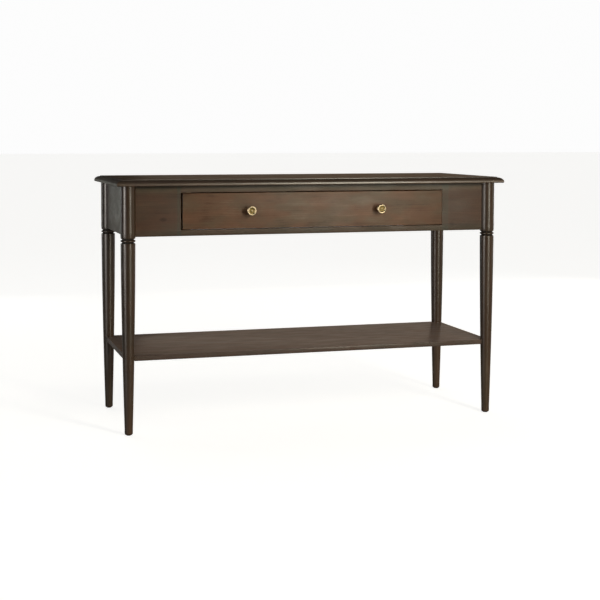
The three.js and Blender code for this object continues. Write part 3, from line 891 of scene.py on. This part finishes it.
def edge_strip(turn, inner, nose, half, under, top):
    """A mitred moulded strip: turn is the number of quarter turns from the front."""
    bm = bmesh.new()
    shade_and_patina = bm.verts.layers.float.new("shade_and_patina")
    section = edge_section(inner, nose, under, top)
    spin = Matrix.Rotation(turn * math.pi / 2, 4, "Z")
    ends = []
    for side in (-1, 1):
        end = []
        for out, z in section:
            mitred = Vector((side * (half - nose + out - GAP / 2), -out, z))
            vert = bm.verts.new(spin @ mitred * MM)
            vert[shade_and_patina] = edge_shade(z - under)
            end.append(vert)
        ends.append(end)
    for i in range(len(section)):
        j = (i + 1) % len(section)
        bm.faces.new((ends[0][i], ends[0][j], ends[1][j], ends[1][i]))
    for end in ends:
        bm.faces.new(end)
    return bm


def add_top():
    low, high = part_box("top_edge_front")
    under, top = low.z / MM, high.z / MM
    half_x, half_y = high.x / MM + GAP / 2, -low.y / MM
    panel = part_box("top_panel")[1] / MM
    for name, turn, nose, half, inner, grain in (
        ("front", 0, half_y, half_x, panel.y, "X"),
        ("right", 1, half_x, half_y, panel.x, "Y"),
        ("back", 2, half_y, half_x, panel.y, "X"),
        ("left", 3, half_x, half_y, panel.x, "Y"),
    ):
        bm = edge_strip(turn, inner + GAP, nose, half, under, top)
        nodes = [f"top_edge_{name}"]
        build(f"moulded_edge_{name}", bm, EDGE_WOOD[grain], "table", nodes)


# ---------------------------------------------------------------- shelf

SHELF_COPE_R = 17.9
SHELF_ARRIS = 1.5
# Painted shade on the shelf's rounded edges.
SHELF_EDGE_SHADE = 0.55


def shelf_outline(size, leg, inset):
    """The shelf's plan, hollowed round the legs and drawn in by an inset, in millimetres."""
    x, y = size[0] - inset, size[1] - inset
    radius = SHELF_COPE_R + inset
    first = math.acos((x - leg[0]) / radius)
    last = math.acos((y - leg[1]) / radius)
    corner = arc(leg[0], leg[1], radius, -math.degrees(first), math.degrees(last) - 270, 24)
    mirrored = [(-px, py) for px, py in reversed(corner)]
    top = corner + mirrored
    return top + [(-px, -py) for px, py in top]


def add_shelf():
    low, high = (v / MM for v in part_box("shelf"))
    leg_low, leg_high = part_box("leg_back_right")
    leg = [value / 2 / MM for value in (leg_low + leg_high)[0:2]]
    arris = SHELF_ARRIS
    section = arc(arris, low.z + arris, arris, -90, -180, 4) + arc(arris, high.z - arris, arris, 180, 90, 4)
    bm = bmesh.new()
    shade_and_patina = bm.verts.layers.float.new("shade_and_patina")
    rings = []
    for inset, z in section:
        outline = shelf_outline((high.x, high.y), leg, inset)
        rings.append([bm.verts.new(Vector((x, y, z)) * MM) for x, y in outline])
        for vert in rings[-1]:
            vert[shade_and_patina] = SHELF_EDGE_SHADE * (1 - inset / SHELF_ARRIS)
    for one, two in zip(rings, rings[1:]):
        for i in range(len(one)):
            j = (i + 1) % len(one)
            bm.faces.new((one[i], one[j], two[j], two[i]))
    bm.faces.new(rings[0])
    bm.faces.new(rings[-1])
    build("coped_shelf", bm, SHELF_WOOD, "table", ["shelf"])


# ---------------------------------------------------------------- drawer

TAILS = 3
TAIL_SLOPE = 1.7
HALF_PIN = 6.0
PIN = 9.0
GROOVE_DEEP = 6.0
PAST = 0.001  # how far a cutter passes the face that it cuts


def tails(low, high, baseline, end):
    """The (y, z) corners of each dovetail at the front of a drawer side, widest at its end."""
    height = high - low
    wide = (height - 2 * HALF_PIN * MM - (TAILS - 1) * PIN * MM) / TAILS
    made = []
    for i in range(TAILS):
        bottom = low + (HALF_PIN + i * PIN) * MM + i * wide
        flare = TAIL_SLOPE * MM
        made.append(
            [
                (baseline, bottom),
                (end, bottom - flare),
                (end, bottom + wide + flare),
                (baseline, bottom + wide),
            ]
        )
    return made


def drawer_side(side):
    """A drawer side with dovetails at its front end, grooved for the bottom and housed for the back."""
    low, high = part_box(f"drawer_side_{'left' if side < 0 else 'right'}")
    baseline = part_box("drawer_front")[1].y
    outline = [(high.y, high.z), (high.y, low.z), (baseline, low.z)]
    for tail in tails(low.z, high.z, baseline, low.y):
        outline.extend(tail)
    outline.append((baseline, high.z))
    bm = prism(outline, low.x, high.x)
    round_edges(bm, lambda a, b: near(a.z, high.z) and near(b.z, high.z) and not near(a.y, b.y), 1.2)
    panel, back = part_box("drawer_bottom"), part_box("drawer_back")
    inner = low.x if side > 0 else high.x
    near_x, far_x = sorted((inner - side * 2 * PAST, inner + side * GROOVE_DEEP * MM))
    gap = GAP * MM
    groove = bmesh.new()
    box_mesh(groove, (near_x, low.y - PAST, panel[0].z - gap), (far_x, high.y + PAST, panel[1].z + gap))
    housing = bmesh.new()
    ends = (near_x, back[0].y - gap, panel[1].z + gap / 2), (far_x, back[1].y + gap, high.z + PAST)
    box_mesh(housing, *ends)
    return cut(cut(bm, groove), housing)


def drawer_front():
    """The drawer front with rounded arrises, sockets for the sides' dovetails and a groove behind."""
    low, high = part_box("drawer_front")
    bm = bmesh.new()
    box_mesh(bm, low, high)
    round_edges(bm, lambda a, b: near(a.y, low.y) and near(b.y, low.y), 1.3, 4)
    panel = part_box("drawer_bottom")
    gap = GAP * MM
    lips = bmesh.new()
    sockets = bmesh.new()
    inside = []
    for name, side in SIDES:
        wall_low, wall_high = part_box(f"drawer_side_{name}")
        inner, outer = (wall_low.x, wall_high.x) if side > 0 else (wall_high.x, wall_low.x)
        edge = high.x if side > 0 else low.x
        inside.append(inner - side * gap)
        xs = sorted((outer + side * gap / 2, edge + side * PAST))
        box_mesh(
            lips,
            (xs[0], wall_low.y - gap, low.z - PAST),
            (xs[1], high.y + PAST, high.z + PAST),
        )
        for tail in tails(wall_low.z, wall_high.z, high.y, wall_low.y):
            grown = [
                (high.y + PAST / 2, tail[0][1] - gap / 2),
                (wall_low.y - gap, tail[1][1] - gap / 2),
                (wall_low.y - gap, tail[2][1] + gap / 2),
                (high.y + PAST / 2, tail[3][1] + gap / 2),
            ]
            xs = sorted((inner - side * gap, edge + side * 2 * PAST))
            part = prism(grown, *xs)
            mesh = bpy.data.meshes.new("socket")
            part.to_mesh(mesh)
            part.free()
            sockets.from_mesh(mesh)
            bpy.data.meshes.remove(mesh)
    box_mesh(
        lips,
        (inside[0], panel[0].y - gap, panel[0].z - gap),
        (inside[1], high.y + PAST, panel[1].z + gap),
    )
    return cut(cut(bm, lips), sockets)


def add_drawer():
    build("inset_drawer_front", drawer_front(), DRAWER_WOOD, "drawer", ["drawer_front"])
    for name, side in SIDES:
        nodes = [f"drawer_side_{name}"]
        build(f"dovetailed_side_{name}", drawer_side(side), PALE["Y"], "drawer", nodes)


# ---------------------------------------------------------------- knobs

KNOB_R = 14.5
KNOB_REACH = 27.0
DISH_R = 8.9
BUTTON_R = 2
WAIST_TOP = 16


def knob_outline():
    """A ringed knob: foot, waist, dished head with a raised rim and a button."""
    rim = 2.9
    rim_z = KNOB_REACH - rim
    floor = KNOB_REACH - 3.4
    return [
        (0, GAP + 0.4),
        (7.6, GAP + 0.4),
        (8.0, GAP),
        (8.3, GAP),
        (8.5, GAP + 0.2),
        *arc(7.9, 2.0, 0.6, 0, 70, 5),
        *bend((7.0, 3.0), (4.7, 8), (6.2, 15), 14),
        *bend((6.5, 15.4), (11.0, 17.2), (KNOB_R - 0.5, rim_z - 1.6), 12),
        *arc(KNOB_R - rim, rim_z, rim, -25, 150, 18),
        *bend((8.8, floor + 1.2), (8.5, floor), (7.9, floor), 4),
        (5.0, floor),
        *bend((4.4, floor), (3.9, floor + 0.1), (3.5, floor + 0.8), 4),
        *bend((3.1, floor + 1.7), (2.4, floor + 2.3), (0, floor + 2.4), 10),
    ]


def knob_patina_and_shade(radius, height):
    """Dark patina lies in the dish, less on the button; the waist and foot get painted shade, as they sit
    in the head's shadow; the rim gets none.
    """
    if height > KNOB_REACH / 2 and radius < DISH_R:
        return 0.9 if radius > BUTTON_R else 0.4
    return 0.6 if height < WAIST_TOP else 0.0


def add_knobs():
    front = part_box("drawer_front")[0]
    for name, _ in SIDES:
        low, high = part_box(f"knob_{name}")
        middle = (low + high) / 2
        seat = Matrix.Translation((middle.x, front.y, middle.z))
        place = seat @ Matrix.Rotation(math.pi / 2, 4, "X")
        bm = lathe(knob_outline(), 72, place, knob_patina_and_shade)
        build(f"ringed_knob_{name}", bm, BRASS, "drawer", [f"knob_{name}"], 45)


# ---------------------------------------------------------------- screws


SHANK_R = 2.0
HEAD_HIGH = 3.0
BOLT_HEAD_HIGH = 2.6
BOLT_SQUEEZE = 0.866


def screw(place, shank_end, tip, head_r):
    """A cross-slotted pan-head screw up its own Z: its head's underside is at 0, and its tip is above."""
    outline = [
        (0, -HEAD_HIGH),
        (head_r * 0.45, -HEAD_HIGH),
        *arc(head_r - 1.9, -1.2, 1.75, -90, -10, 6),
        (head_r, -0.7),
        (head_r, 0),
        (SHANK_R, 0),
        (SHANK_R, shank_end),
        (0, tip),
    ]
    bm = lathe(outline, 32)
    cutter = bmesh.new()
    slot, reach = 0.55 * MM, 2.4 * MM
    arm = ((slot, slot), (slot, reach), (-slot, reach))
    cross = []
    for quarter in range(4):
        turn = Matrix.Rotation(quarter * math.pi / 2, 2)
        cross.extend((turn @ Vector(point)).to_tuple() for point in arm)
    bottom = [cutter.verts.new((x, y, -3.6 * MM)) for x, y in cross]
    top = [cutter.verts.new((x * 0.45, y * 0.45, -1.2 * MM)) for x, y in cross]
    for i in range(len(cross)):
        j = (i + 1) % len(cross)
        cutter.faces.new((bottom[i], bottom[j], top[j], top[i]))
    cutter.faces.new(bottom)
    cutter.faces.new(top)
    bm = cut(bm, cutter)
    bm.transform(place)
    return bm


def add_screws():
    for name in (*CORNERS, "left", "right"):
        low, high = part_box(f"top_screw_{name}")
        middle = (low + high) / 2
        place = Matrix.Translation((middle.x, middle.y, low.z + HEAD_HIGH * MM))
        length = (high.z - low.z) / MM - HEAD_HIGH
        bm = screw(place, length - 4, length, 4.4)
        build(f"pan_screw_{name}", bm, STEEL, "table", [f"top_screw_{name}"])
    for name, _ in SIDES:
        low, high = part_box(f"knob_screw_{name}")
        middle = (low + high) / 2
        turn = Matrix.Rotation(math.pi / 2, 4, "X")
        place = Matrix.Translation((middle.x, high.y - BOLT_HEAD_HIGH * MM, middle.z)) @ turn
        squeezed = place @ Matrix.Diagonal((1, 1, BOLT_SQUEEZE, 1))
        length = ((high.y - low.y) / MM - BOLT_HEAD_HIGH) / BOLT_SQUEEZE
        bm = screw(squeezed, length - 0.8, length, 4.0)
        build(f"knob_bolt_{name}", bm, STEEL, "drawer", [f"knob_screw_{name}"])


# ---------------------------------------------------------------- CAD parts that stay


def keep(node, material, arris=0.6):
    """A CAD node whose shape is right, with its sharp edges eased and its finish put on."""
    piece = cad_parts[node]
    piece.data.materials.clear()
    piece.data.materials.append(material)
    weld = piece.modifiers.new("weld", "WELD")
    weld.merge_threshold = 1e-5
    if arris:
        eased = piece.modifiers.new("eased", "BEVEL")
        eased.width = arris * MM
        eased.segments = 2
        eased.limit_method = "ANGLE"
        eased.angle_limit = math.radians(40)
        eased.harden_normals = False


def keep_the_rest():
    keep("top_panel", TOP_WOOD, 0.2)
    for name in CORNERS:
        keep(f"corner_block_{name}", PALE["Y"], 0.8)
        keep(f"shelf_dowel_{name}", PALE["X"], 0.4)
    for name, _ in SIDES:
        for kind in ("runner", "guide", "kicker", "stop"):
            keep(f"drawer_{kind}_{name}", PALE["Y"], 0.8)
    keep("drawer_out_stop", PALE["X"], 0.8)
    keep("drawer_back", PALE["X"], 0.8)
    keep("drawer_bottom", PALE["X"], 0.3)
    keep("drawer_tongue", PALE["Z"], 0.8)


# ---------------------------------------------------------------- the table

make_camera()
make_lights()
make_world()
make_floor()
add_legs()
add_aprons()
add_top()
add_shelf()
add_drawer()
add_knobs()
add_screws()
keep_the_rest()

boxes = {"cad": cad_box, "visual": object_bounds()}
{name: [list(v) for v in box] for name, box in boxes.items()}
